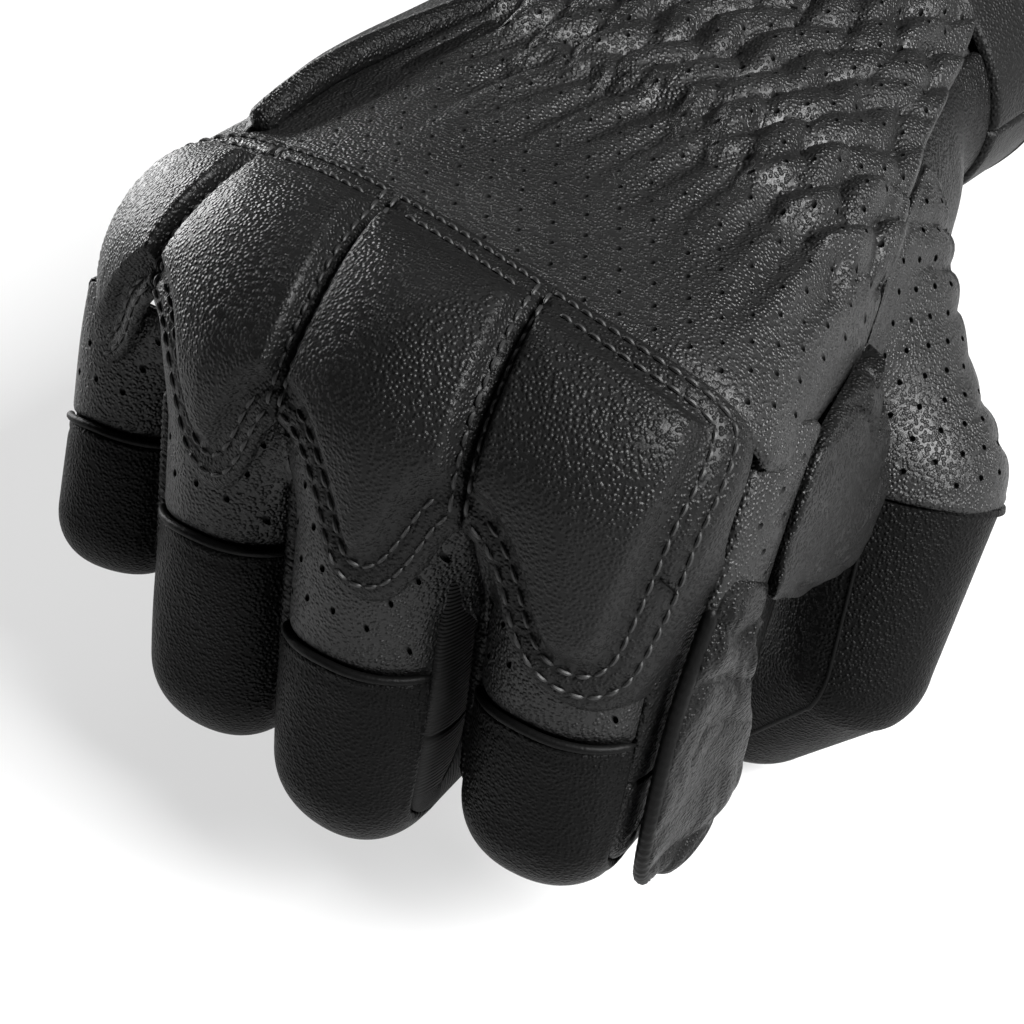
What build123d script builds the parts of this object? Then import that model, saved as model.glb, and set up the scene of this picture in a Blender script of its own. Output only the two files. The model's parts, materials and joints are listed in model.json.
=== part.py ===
from build123d import *
import os
from dataclasses import dataclass
from math import cos, radians, sin, tan

# Right-hand short leather riding glove, shaped as a loose fist.  Millimetres.
# Origin: centre of the wrist opening.  +Y runs out of the wrist, so the knuckles
# point along -Y.  +X is the thumb side and +Z stands on the back of the hand.

# ---- driving dimensions ----
LEATHER = 1.3            # wall of a leather panel with its backing
LINING = 0.6             # inner fabric layer
LINING_SETBACK = 2.0     # the lining ends this far inside the wrist opening
BODY_GAP = 0.3           # half the play left at each finger joint
HAND_ROUND = 0.46        # corner radius of the hand section, as a share of its height
CUFF_LENGTH = 17.0       # cuff band, from the wrist opening forwards
SHIRRING_END = 70.0      # front end of the gathered wrist zone
BACK_TOP_Z = 4.0         # seam height between back panel and the side panels
PALM_SIDE_Z = -6.0       # seam height between side panels and the palm
BINDING = 1.0            # how far the bound edge of the cuff stands proud
HAND_FRONT_Y = -109.0    # front end of the back-of-hand panel
SIDE_FRONT_Y = -107.0    # front end of the side panels and the web gusset
PALM_FRONT_Y = -98.0     # front end of the palm panel and the lining
GUSSET_REAR_Y = -60.0    # seam between the thumb web gusset and the inner side panel
SIDE_INNER_X = 20.0      # side pieces of the thumb side lie beyond this
GUARD_THICK = 1.2        # base leather of the knuckle guard
GUARD_FLOOR_Z = 7.0      # the guard base keeps to the back of the hand above this
GUARD_BACK_Y = -98.0     # rear seam of the knuckle guard
GUARD_FRONT_Y = -109.0   # where the guard base stops short of the finger stalls
PAD_THICK = 3.6          # foam pad of the knuckle guard
PAD_REAR = 12.0          # rear edge of a pad, back from the finger's knuckle hinge
PAD_CROWN = 0.56         # roundness of a pad over the knuckle
PAD_INSET = 1.2          # a pad is this much narrower than its stall, on each side
PIPING_RADIUS = 0.85
PIPING_STANDOFF = 0.1
STRAP_THICK = 2.0
STRAP_FRONT_Y = -44.0
STRAP_BACK_Y = -24.0
STRAP_STANDOFF = 2.0     # space under the strap for its hook and loop patches
STRAP_SEAM_X = -8.0      # line under the palm where the strap is sewn on
STRAP_END_X = 6.0        # free end of the strap on the back of the wrist
PATCH_THICK = 0.7
PATCH_MARGIN = 2.0       # strap left bare beside the patches
LOOP_PATCH_X = (-18.0, 16.0)
HOOK_PATCH_X = (-14.0, 5.0)
PULL_TAB_LENGTH = 9.0
PULL_TAB_INSET = 0.4     # the pull tab is this much thinner than the strap, on each face
BINDING_WIDTH = 3.5
REACH = 60.0             # longer than any local feature, for cutting tools
FAR = 200.0              # beyond the whole glove, for cutting tools

# y, centre x, centre z, width and height of the hand's outer section
HAND_SECTIONS = [
    (-109.0, 2.0, 1.5, 92.0, 29.0),
    (-92.0, 4.0, 1.0, 89.0, 29.5),
    (-72.0, 5.0, -1.0, 82.0, 35.0),
    (-50.0, 4.0, -2.0, 72.0, 42.0),
    (-30.0, 2.0, -1.0, 68.0, 46.0),
    (-15.0, 1.0, 0.0, 72.0, 50.0),
    (0.0, 0.0, 0.0, 80.0, 56.0),
]


@dataclass
class Finger:
    name: str
    knuckle: tuple           # hinge point of the knuckle
    radius: float            # outer radius of the stall
    bones: tuple             # proximal, middle and tip lengths
    bends: tuple             # flexion at rest at the three hinges, degrees
    pad_reach: float         # how far the knuckle pad runs down the finger
    piping_at: float         # distance of the piping from the knuckle
    guard_top: float         # height of the guard base over the hinge


FINGERS = [
    Finger("index", (37, -118, 2), 11.2, (44, 26, 26), (80, 100, 68), 20.0, 28.0, 15.4),
    Finger("middle", (13, -123, 3), 11.2, (48, 29, 26), (80, 100, 68), 18.5, 28.6, 14.8),
    Finger("ring", (-10, -120, 0), 10.7, (44.5, 27, 26), (79, 100, 68), 13.5, 21.7, 17.8),
    Finger("little", (-34, -111, -4), 9.8, (34, 20, 23), (71, 95, 65), 9.0, 19.7, 21.4),
]
FINGER_OPENING = (70, 84, 49)     # travel of the three hinges from fist to open, degrees
STALL_TAPER = (1.0, 0.98, 0.93, 0.84)
TIP_SETBACK = 8.0                 # fingertip dome centre, back from the end of the tip bone
STALL_MARGIN = 6.0                # cutting tools stand this far off a stall
SIDE_SHARE = 0.4                  # half height of the side gussets, as a share of the radius

THUMB_POINTS = [(34, -38, 2), (50.5, -67, -26), (53, -78, -47.5), (45, -76, -64)]
THUMB_RADII = (13.5, 12.5, 11.2, 9.6)
THUMB_SWING = 25                  # travel of the thumb base about +Z, degrees
THUMB_OPENING = (20, 40)          # travel of the thumb knuckle and tip hinges, degrees
THUMB_ROOT = 15.0                 # start of the thumb base shell along its axis
THUMB_CLEARANCE = 1.0             # play between the thumb and the hand panels
THUMB_BALL_PLAY = 0.2             # further play round the thumb knuckle
THUMB_BEND_ROOM = 16.0            # length of the second thumb bone that is cleared as well
SWING_STEPS = 4


def direction(pitch):
    """Unit vector of a finger bone that points down by pitch degrees from -Y."""
    return Vector(0, -cos(radians(pitch)), -sin(radians(pitch)))


def back_normal(pitch):
    """Unit vector out of the back of a finger bone at that pitch."""
    return Vector(0, -sin(radians(pitch)), cos(radians(pitch)))


def joint_chain(finger):
    """Hinge points and fingertip, with the pitch of each bone."""
    point = Vector(*finger.knuckle)
    pitch = 0
    points = [point]
    pitches = []
    for bend, bone in zip(finger.bends, finger.bones):
        pitch += bend
        point = point + direction(pitch) * bone
        points.append(point)
        pitches.append(pitch)
    return points, pitches


def tapered_tube(length, start_radius, end_radius, wall=LEATHER, domed=False):
    """Round tube along +Z, closed by a dome at its far end when domed."""
    outer = Cone(start_radius, end_radius, length, align=(Align.CENTER, Align.CENTER, Align.MIN))
    inner = Cone(
        start_radius - wall, end_radius - wall, length,
        align=(Align.CENTER, Align.CENTER, Align.MIN),
    )
    if domed:
        outer += Pos(0, 0, length) * Sphere(end_radius)
        inner += Pos(0, 0, length) * Sphere(end_radius - wall)
    return outer - inner


def hinge_envelope(length, radius, start_bend, start_open, end_bend=None, end_open=None):
    """Side-view prism that a bone may fill without touching its neighbours.

    On the palm side the cut leaves room for the full bend, and on the back for
    what is left of the bend when the finger is open.
    """
    back = radius + STALL_MARGIN
    palm = radius + STALL_MARGIN
    palm_start = tan(radians(start_bend / 2))
    back_start = tan(radians(start_open / 2))
    if end_bend is None:
        outline = [
            (0, BODY_GAP), (back, back * back_start + BODY_GAP), (back, REACH),
            (-palm, REACH), (-palm, palm * palm_start + BODY_GAP),
        ]
    else:
        palm_end = tan(radians(end_bend / 2))
        back_end = tan(radians(end_open / 2))
        meeting = (length - 2 * BODY_GAP) / (palm_start + palm_end)
        palm = min(palm, meeting)
        outline = [
            (0, BODY_GAP),
            (back, back * back_start + BODY_GAP),
            (back, length - back * back_end - BODY_GAP),
            (0, length - BODY_GAP),
            (-palm, length - palm * palm_end - BODY_GAP),
        ]
        if palm < meeting:
            outline.append((-palm, palm * palm_start + BODY_GAP))
    return extrude(Plane.YZ * Polygon(*outline, align=None), amount=REACH, both=True)


def slab(low, high):
    """Part of space between two heights over a bone's axis."""
    return Pos(0, (low + high) / 2, 0) * Box(REACH * 2, high - low, REACH * 4)


def split_stall(shell, radius, names):
    """Cuts a stall at its seam lines into back, side and palm pieces."""
    seam = SIDE_SHARE * radius
    zones = {"back": slab(seam, REACH), "sides": slab(-seam, seam), "palm": slab(-REACH, -seam)}
    if "sides" not in names:
        zones["palm"] = slab(-REACH, seam)
    return {name: shell & zones[name] for name in names}


def write_node(name, shape):
    shape.label = name
    export_step(shape, f"parts/{name}.step")


def make_finger(finger):
    points, pitches = joint_chain(finger)
    radii = [finger.radius * share for share in STALL_TAPER]
    left = [bend - travel for bend, travel in zip(finger.bends, FINGER_OPENING)]
    frames = [
        Plane(origin=point, x_dir=(1, 0, 0), z_dir=direction(pitch))
        for point, pitch in zip(points, pitches)
    ]

    proximal = tapered_tube(finger.bones[0], radii[0], radii[1]) & hinge_envelope(
        finger.bones[0], radii[0], finger.bends[0], left[0], finger.bends[1], left[1]
    )
    for zone, piece in split_stall(proximal, radii[0], ("back", "sides", "palm")).items():
        write_node(f"{finger.name}_proximal_{zone}", frames[0].location * piece)

    middle = tapered_tube(finger.bones[1], radii[1], radii[2]) & hinge_envelope(
        finger.bones[1], radii[1], finger.bends[1], left[1], finger.bends[2], left[2]
    )
    for zone, piece in split_stall(middle, radii[1], ("back", "palm")).items():
        write_node(f"{finger.name}_middle_{zone}", frames[1].location * piece)

    tip_length = finger.bones[2] - TIP_SETBACK
    tip = tapered_tube(tip_length, radii[2], radii[3], domed=True) & hinge_envelope(
        tip_length, radii[2], finger.bends[2], left[2]
    )
    write_node(f"{finger.name}_tip", frames[2].location * tip)

    write_node(f"{finger.name}_knuckle_leather", knuckle_leather(finger, points[1], pitches, left))
    write_node(f"{finger.name}_piping", frames[0].location * piping(finger))
    write_node(f"{finger.name}_knuckle_pad", knuckle_pad(finger))


def knuckle_leather(finger, hinge, pitches, left):
    """Leather over the bent second knuckle: a sector of a round shell about the hinge."""
    radius = finger.radius * STALL_TAPER[1]
    shell = Sphere(radius) - Sphere(radius - LEATHER)
    first = back_normal(pitches[0] - left[1] / 2) * REACH
    halfway = back_normal((pitches[0] + pitches[1]) / 2) * REACH
    last = back_normal(pitches[1] + left[1] / 2) * REACH
    corners = [(0, 0)] + [(edge.Y, edge.Z) for edge in (first, halfway, last)]
    sector = extrude(Plane.YZ * Polygon(*corners, align=None), amount=REACH, both=True)
    return Pos(*hinge) * (shell & sector)


def piping(finger):
    """Rolled piping sewn across the back of the finger below the guard."""
    share = finger.piping_at / finger.bones[0]
    radius = finger.radius * (1 + share * (STALL_TAPER[1] - 1)) + PIPING_RADIUS + PIPING_STANDOFF
    ring = Pos(0, 0, finger.piping_at) * Torus(radius, PIPING_RADIUS)
    return ring & slab(SIDE_SHARE * finger.radius, REACH)


def knuckle_pad(finger):
    """Foam pad over the first knuckle, from the back of the hand down the finger."""
    _, y, z = finger.knuckle
    pitch = finger.bends[0]
    down = direction(pitch)
    out = back_normal(pitch)
    start = Vector(0, y, z)
    inner_front = finger.radius + BODY_GAP
    inner_top = finger.guard_top + BODY_GAP
    rear = Vector(0, y + PAD_REAR, z + inner_top)
    turn = back_normal(pitch / 2)

    def edge(extra):
        top = rear + Vector(0, 0, extra)
        shoulder = start + Vector(0, 0, inner_top + extra)
        corner = start + turn * ((inner_front + inner_top) * PAD_CROWN + extra)
        front = start + out * (inner_front + extra)
        toe = front + down * finger.pad_reach
        return top, shoulder, corner, front, toe

    low = edge(0)
    high = edge(PAD_THICK)
    with BuildSketch(Plane.YZ) as profile:
        with BuildLine():
            for top, shoulder, corner, front, toe in (low, high):
                ends = [(p.Y, p.Z) for p in (top, shoulder, corner, front, toe)]
                Line(ends[0], ends[1])
                ThreePointArc(ends[1], ends[2], ends[3])
                Line(ends[3], ends[4])
            Line((low[0].Y, low[0].Z), (high[0].Y, high[0].Z))
            Line((low[4].Y, low[4].Z), (high[4].Y, high[4].Z))
        make_face()
    half_width = finger.radius - PAD_INSET
    return Pos(finger.knuckle[0], 0, 0) * extrude(profile.sketch, amount=half_width, both=True)


def hand_form(grow):
    """Solid hand section loft, grown outwards by a thickness."""
    sections = []
    for y, x, z, width, height in HAND_SECTIONS:
        wide = width + 2 * grow
        tall = height + 2 * grow
        station = Plane(origin=(x, y, z), x_dir=(1, 0, 0), z_dir=(0, 1, 0))
        corner = HAND_ROUND * height + grow
        sections.append(station * RectangleRounded(wide, tall, corner))
    return loft(sections)


def block(x=(-FAR, FAR), y=(-FAR, FAR), z=(-FAR, FAR)):
    """Axis-aligned box between pairs of limits."""
    middle = [(low + high) / 2 for low, high in (x, y, z)]
    return Pos(*middle) * Box(x[1] - x[0], y[1] - y[0], z[1] - z[0])


def thumb_frame(index, hinge_axis):
    start = Vector(*THUMB_POINTS[index])
    along = Vector(*THUMB_POINTS[index + 1]) - start
    return Plane(origin=start, x_dir=hinge_axis, z_dir=along), along.length


def thumb_hinge_axis():
    """Normal of the plane that the thumb bends in."""
    first = Vector(*THUMB_POINTS[1]) - Vector(*THUMB_POINTS[0])
    last = Vector(*THUMB_POINTS[3]) - Vector(*THUMB_POINTS[2])
    return first.cross(last).normalized()


def thumb_bends():
    bones = [Vector(*b) - Vector(*a) for a, b in zip(THUMB_POINTS, THUMB_POINTS[1:])]
    return [a.get_angle(b) for a, b in zip(bones, bones[1:])]


def thumb_clearance():
    """Forms that fill the space the thumb base sweeps as it swings out from the hand."""
    axis = thumb_hinge_axis()
    base, base_length = thumb_frame(0, axis)
    knuckle, _ = thumb_frame(1, axis)
    root = THUMB_ROOT - 2
    base_form = base.location * Pos(0, 0, root) * Cone(
        THUMB_RADII[0] + THUMB_CLEARANCE, THUMB_RADII[1] + THUMB_CLEARANCE, base_length - root,
        align=(Align.CENTER, Align.CENTER, Align.MIN),
    )
    ball = Pos(*THUMB_POINTS[1]) * Sphere(THUMB_RADII[1] + THUMB_CLEARANCE + THUMB_BALL_PLAY)
    next_bone = knuckle.location * Cylinder(
        THUMB_RADII[1] + THUMB_CLEARANCE, THUMB_BEND_ROOM, align=(Align.CENTER, Align.CENTER, Align.MIN)
    )
    swing_axis = Axis(THUMB_POINTS[0], (0, 0, 1))
    forms = []
    for step in range(SWING_STEPS):
        angle = THUMB_SWING * step / (SWING_STEPS - 1)
        forms += [form.rotate(swing_axis, angle) for form in (base_form, ball, next_bone)]
    return forms


def cut_all(shape, tools):
    for tool in tools:
        shape = shape - tool
    return shape


def make_hand():
    outer = hand_form(0)
    middle = hand_form(-LEATHER)
    inner = hand_form(-LEATHER - LINING)
    sweep = thumb_clearance()
    skin = cut_all(outer - middle, sweep)
    cuff_y = -CUFF_LENGTH

    write_node("hand_lining", cut_all((middle - inner) & block(y=(PALM_FRONT_Y, -LINING_SETBACK)), sweep))
    write_node("cuff_panel", skin & block(y=(cuff_y, 0)))
    write_node(
        "wrist_shirring_panel", skin & block(y=(-SHIRRING_END, cuff_y), z=(BACK_TOP_Z, FAR))
    )
    back_y = (HAND_FRONT_Y, -SHIRRING_END)
    write_node("back_of_hand_panel", skin & block(y=back_y, z=(BACK_TOP_Z, FAR)))
    side_z = (PALM_SIDE_Z, BACK_TOP_Z)
    write_node("outer_side_panel", skin & block((-FAR, 0), (SIDE_FRONT_Y, cuff_y), side_z))
    inner_x = (SIDE_INNER_X, FAR)
    write_node("thumb_web_gusset", skin & block(inner_x, (SIDE_FRONT_Y, GUSSET_REAR_Y), side_z))
    write_node("inner_side_panel", skin & block(inner_x, (GUSSET_REAR_Y, cuff_y), side_z))
    write_node("palm_panel", skin & block(y=(PALM_FRONT_Y, cuff_y), z=(-FAR, PALM_SIDE_Z)))
    binding = hand_form(BINDING) - outer
    write_node("cuff_binding", binding & block(y=(-BINDING_WIDTH, 0)))
    guard = hand_form(GUARD_THICK) - outer
    write_node("knuckle_guard_base", guard & block(y=(GUARD_FRONT_Y, GUARD_BACK_Y), z=(GUARD_FLOOR_Z, FAR)))


def make_strap():
    """Wrist strap, from its seam under the palm round the outer side to the back."""
    under = hand_form(STRAP_STANDOFF)
    over = hand_form(STRAP_STANDOFF + STRAP_THICK)
    zone_y = (STRAP_FRONT_Y, STRAP_BACK_Y)
    lower = block((-FAR, STRAP_SEAM_X), zone_y, (-FAR, 0))
    upper = block((-FAR, STRAP_END_X), zone_y, (0, FAR))
    write_node("wrist_strap", (over - under) & (lower + upper))

    patch_y = (STRAP_FRONT_Y + PATCH_MARGIN, STRAP_BACK_Y - PATCH_MARGIN)
    loop = hand_form(PATCH_THICK) - hand_form(0)
    write_node("strap_loop_patch", loop & block(LOOP_PATCH_X, patch_y, (0, FAR)))
    hook = under - hand_form(STRAP_STANDOFF - PATCH_THICK)
    write_node("strap_hook_patch", hook & block(HOOK_PATCH_X, patch_y, (0, FAR)))
    tab_y = (STRAP_FRONT_Y + 2 * PATCH_MARGIN, STRAP_BACK_Y - 2 * PATCH_MARGIN)
    tab_top = hand_form(STRAP_STANDOFF + STRAP_THICK - PULL_TAB_INSET)
    tab = tab_top - hand_form(STRAP_STANDOFF + PULL_TAB_INSET)
    tab_x = (STRAP_END_X, STRAP_END_X + PULL_TAB_LENGTH)
    write_node("strap_pull_tab", tab & block(tab_x, tab_y, (0, FAR)))


def make_thumb():
    axis = thumb_hinge_axis()
    bends = thumb_bends()
    left = [bend - travel for bend, travel in zip(bends, THUMB_OPENING)]

    base, length = thumb_frame(0, axis)
    shell = tapered_tube(length, THUMB_RADII[0], THUMB_RADII[1])
    shell &= hinge_envelope(length, THUMB_RADII[0], 0, 0, bends[0], left[0])
    shell &= Pos(0, 0, THUMB_ROOT + REACH) * Box(REACH * 2, REACH * 2, REACH * 2)
    for zone, piece in split_stall(shell, THUMB_RADII[0], ("back", "palm")).items():
        write_node(f"thumb_base_{zone}", base.location * piece)

    knuckle, length = thumb_frame(1, axis)
    shell = tapered_tube(length, THUMB_RADII[1], THUMB_RADII[2])
    shell &= hinge_envelope(length, THUMB_RADII[1], bends[0], left[0], bends[1], left[1])
    for zone, piece in split_stall(shell, THUMB_RADII[1], ("back", "palm")).items():
        write_node(f"thumb_middle_{zone}", knuckle.location * piece)

    tip, length = thumb_frame(2, axis)
    shell = tapered_tube(length, THUMB_RADII[2], THUMB_RADII[3], domed=True)
    shell &= hinge_envelope(length, THUMB_RADII[2], bends[1], left[1])
    write_node("thumb_tip", tip.location * shell)


os.makedirs("parts", exist_ok=True)
make_hand()
make_strap()
make_thumb()
for one_finger in FINGERS:
    make_finger(one_finger)
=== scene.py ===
import json
import math

import bpy
import numpy as np
from mathutils import Matrix, Vector
from mathutils.geometry import delaunay_2d_cdt


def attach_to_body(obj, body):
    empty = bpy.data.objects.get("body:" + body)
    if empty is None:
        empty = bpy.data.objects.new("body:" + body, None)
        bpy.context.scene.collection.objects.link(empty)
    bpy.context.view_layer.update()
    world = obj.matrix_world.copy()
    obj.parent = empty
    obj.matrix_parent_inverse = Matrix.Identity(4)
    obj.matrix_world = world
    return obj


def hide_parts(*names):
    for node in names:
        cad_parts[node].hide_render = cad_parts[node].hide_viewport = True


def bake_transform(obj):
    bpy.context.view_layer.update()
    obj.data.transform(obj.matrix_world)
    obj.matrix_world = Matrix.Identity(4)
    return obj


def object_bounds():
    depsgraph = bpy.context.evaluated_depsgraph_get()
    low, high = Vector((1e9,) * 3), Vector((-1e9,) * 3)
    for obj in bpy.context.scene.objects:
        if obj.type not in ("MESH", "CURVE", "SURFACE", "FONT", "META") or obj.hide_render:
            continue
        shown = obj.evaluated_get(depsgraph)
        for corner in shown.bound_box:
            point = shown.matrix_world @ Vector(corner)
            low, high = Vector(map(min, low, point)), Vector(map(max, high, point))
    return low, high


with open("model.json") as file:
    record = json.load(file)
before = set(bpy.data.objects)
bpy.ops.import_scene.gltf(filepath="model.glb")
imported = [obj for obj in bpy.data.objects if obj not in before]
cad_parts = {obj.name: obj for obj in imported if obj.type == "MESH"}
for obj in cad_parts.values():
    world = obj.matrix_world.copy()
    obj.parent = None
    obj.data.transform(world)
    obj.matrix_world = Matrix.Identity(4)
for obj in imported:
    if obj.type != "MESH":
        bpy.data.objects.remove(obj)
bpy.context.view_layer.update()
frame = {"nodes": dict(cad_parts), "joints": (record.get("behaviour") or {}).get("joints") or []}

# Lengths are in millimetres until a mesh is made.
MM = 0.001
FAR = 60.0
NAMES = ("index", "middle", "ring", "little")
RADIUS = {"index": 11.2, "middle": 11.2, "ring": 10.7, "little": 9.8}
BENDS = {"index": (80, 100, 68), "middle": (80, 100, 68), "ring": (79, 100, 68), "little": (71, 95, 65)}
TIP_BONE = {"index": 18.0, "middle": 18.0, "ring": 18.0, "little": 15.0}
PIPING_AT = {"index": 28.0, "middle": 28.6, "ring": 21.7, "little": 19.7}
# radius of a stall at its three hinges and its end, as a share of RADIUS
TAPER = (1.0, 0.97, 0.92, 0.84)
LITTLE_TAPER = (1.0, 0.88, 0.86, 0.8)
# sides of the perforated strip over each finger, its top, and the forks beside it, on the guard's pattern
STRIP_SIDES = {"index": (25.5, 49), "middle": (1.5, 25.5), "ring": (-22, 1.5), "little": (-39.5, -22)}
STRIP_TOP = {"index": -14, "middle": -12, "ring": -8, "little": -13}
FORKS = {"index": (-29, None), "middle": (-27, -29), "ring": (-22, -27), "little": (None, -22)}
THUMB_ROOT = (26.0, -44.0, 0.0)
THUMB_RADII = (7.0, 13.2, 10.6, 9.2)
THUMB_TIP = (42.5, -77.5, -63.0)
# the little finger's side of the hand, and of the guard, end nearer the wrist than the others
LITTLE_SIDE_END = (-30.0, -103.0, -1.8)
LITTLE_SIDE_RADIUS = 11.6
LITTLE_GUARD_START = (-32.6, -110.0, -5.0)
LITTLE_GUARD_RADIUS = 8.4
GUARD_TILT = math.radians(38)
BACK_TILT = math.radians(20)


# ---------------------------------------------------------------- distance fields
def unit(v):
    v = np.asarray(v, float)
    return v / np.linalg.norm(v, axis=-1, keepdims=True)


def smooth_min(a, b, k):
    """Joins two distance fields with a fillet about k wide."""
    h = np.clip(0.5 + 0.5 * (b - a) / k, 0, 1)
    return b + (a - b) * h - k * h * (1 - h)


def smooth_step(x):
    """Soft rise from 0 to 1."""
    x = np.clip(x, 0, 1)
    return x * x * (3 - 2 * x)


def cone_distance(p, a, b, ra, rb, stretch=(1, 1, 1)):
    """Distance to a round cone.  stretch scales space first, for an oval section."""
    scale = np.array(stretch, float)
    p = p * scale
    a = np.array(a, float) * scale
    ab = np.array(b, float) * scale - a
    t = np.clip((p - a) @ ab / (ab @ ab), 0, 1)
    return np.linalg.norm(p - a - t[:, None] * ab, axis=1) - (ra + t * (rb - ra))


class Stall:
    """Outer skin of a bent finger or thumb.

    a is the distance round from the middle of the back, and s the distance along
    the back from the first hinge, over the knuckles, to the tip.
    """

    def __init__(self, points, across, radii, boxy, pinch=0.0):
        self.points = [np.array(p, float) for p in points]
        self.across = unit(across)
        self.radii = radii
        self.boxy = boxy
        self.pinch = pinch
        self.scale = max(radii)
        pairs = list(zip(self.points, self.points[1:]))
        self.dirs = [unit(b - a) for a, b in pairs]
        self.backs = [np.cross(d, self.across) for d in self.dirs]
        self.bones = [np.linalg.norm(b - a) for a, b in pairs]
        turns = zip(self.dirs, self.dirs[1:])
        self.bends = [math.acos(np.clip(a @ b, -1, 1)) for a, b in turns]
        self.arc_start = []
        self.arc_end = []
        s = 0
        for bone, bend, radius in zip(self.bones, self.bends, radii[1:]):
            s += bone
            self.arc_start.append(s)
            s += bend * radius
            self.arc_end.append(s)
        self.dome = s + self.bones[-1]
        self.end = self.dome + radii[-1] * math.pi / 2

    def frame(self, s):
        """Centre, direction, back normal, radius and ring shrink at each s."""
        n = len(s)
        centre, along, back = np.zeros((3, n, 3))
        radius = np.zeros(n)
        ring = np.ones(n)
        start = 0.0
        for i, bone in enumerate(self.bones):
            last = i == len(self.bones) - 1
            stop = self.dome if last else self.arc_start[i]
            here = (s >= start) & (s <= stop)
            if i == 0:
                here |= s < start
            t = s[here] - start
            centre[here] = self.points[i] + t[:, None] * self.dirs[i]
            along[here] = self.dirs[i]
            back[here] = self.backs[i]
            share = np.clip(t / bone, 0, 1)
            radius[here] = self.radii[i] + share * (self.radii[i + 1] - self.radii[i])
            if not last:
                here = (s > stop) & (s < self.arc_end[i])
                turn = (s[here] - stop) / self.radii[i + 1]
                cos, sin = np.cos(turn)[:, None], np.sin(turn)[:, None]
                centre[here] = self.points[i + 1]
                back[here] = cos * self.backs[i] + sin * self.dirs[i]
                along[here] = cos * self.dirs[i] - sin * self.backs[i]
                radius[here] = self.radii[i + 1]
                start = self.arc_end[i]
        here = s > self.dome
        lift = np.clip((s[here] - self.dome) / self.radii[-1], 0, math.pi / 2)
        centre[here] = self.points[-1] + np.sin(lift)[:, None] * self.radii[-1] * self.dirs[-1]
        along[here] = self.dirs[-1]
        back[here] = self.backs[-1]
        radius[here] = self.radii[-1]
        ring[here] = np.cos(lift)
        return centre, along, back, radius, ring

    def at(self, uv, level=0.0):
        uv = np.atleast_2d(np.asarray(uv, float))
        a, s = uv[:, 0], uv[:, 1]
        level = np.broadcast_to(np.asarray(level, float), a.shape)
        centre, along, back, radius, ring = self.frame(s)
        turn = a / self.scale
        power = self.boxy
        boxed = (np.abs(np.cos(turn)) ** power + np.abs(np.sin(turn)) ** power) ** (-1 / power)
        boxed = 1 + (boxed - 1) * ring
        reach = radius * boxed * ring + level * ring
        dome_out = np.where(ring < 1, level * np.sqrt(np.clip(1 - ring**2, 0, 1)), 0)
        p = centre + (reach * np.cos(turn))[:, None] * back
        narrow = np.ones(len(s))
        for start, end in zip(self.arc_start, self.arc_end):
            narrow -= self.pinch * np.exp(-(((s - (start + end) / 2) / (end - start)) ** 2))
        p += (narrow * reach * np.sin(turn))[:, None] * self.across + dome_out[:, None] * along
        return self.fold(p, s)

    def fold(self, p, s, gap=0.35):
        """Keeps the palm side of each bone behind the crease in front of a bent hinge."""
        for i, bend in enumerate(self.bends):
            slope = math.tan(bend / 2)
            middle = (self.arc_start[i] + self.arc_end[i]) / 2
            q = p - self.points[i + 1]
            before = (s < middle, self.dirs[i], self.backs[i])
            after = (s >= middle, -self.dirs[i + 1], self.backs[i + 1])
            for side, d, n in (before, after):
                depth = -(q @ n)
                over = q @ d + np.maximum(depth, 0) * slope + gap
                hit = side & (depth > 0) & (over > 0)
                p = np.where(hit[:, None], p - over[:, None] * d, p)
        return p

    def round(self, degrees):
        return math.radians(degrees) * self.scale


def march(field, start, step_dir, level, inside_out=False, reach=90.0, steps=60):
    """Walks from start along step_dir until the field equals level."""
    t = np.zeros(len(start))
    level = np.broadcast_to(np.asarray(level, float), t.shape)
    sign = -1.0 if inside_out else 1.0
    for _ in range(steps):
        d = sign * (field(start + t[:, None] * step_dir) - level)
        t = np.clip(t + 0.9 * d, 0, reach)
    return start + t[:, None] * step_dir


class Chart:
    """Flat pattern laid on a field along one direction."""

    def __init__(self, field, origin, u_axis, v_axis):
        self.field = field
        self.origin = np.array(origin, float)
        self.u = unit(u_axis)
        self.v = unit(v_axis)
        self.out = np.cross(self.u, self.v)

    def at(self, uv, level=0.0):
        uv = np.atleast_2d(np.asarray(uv, float))
        start = self.origin + uv[:, :1] * self.u + uv[:, 1:] * self.v + FAR * self.out
        return march(self.field, start, -self.out, level)

    def flat(self, p):
        q = np.atleast_2d(np.asarray(p, float)) - self.origin
        return np.stack([q @ self.u, q @ self.v], axis=1)


CORNER = 3.0  # spacing of the points that a membrane's corners are rounded between


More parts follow.
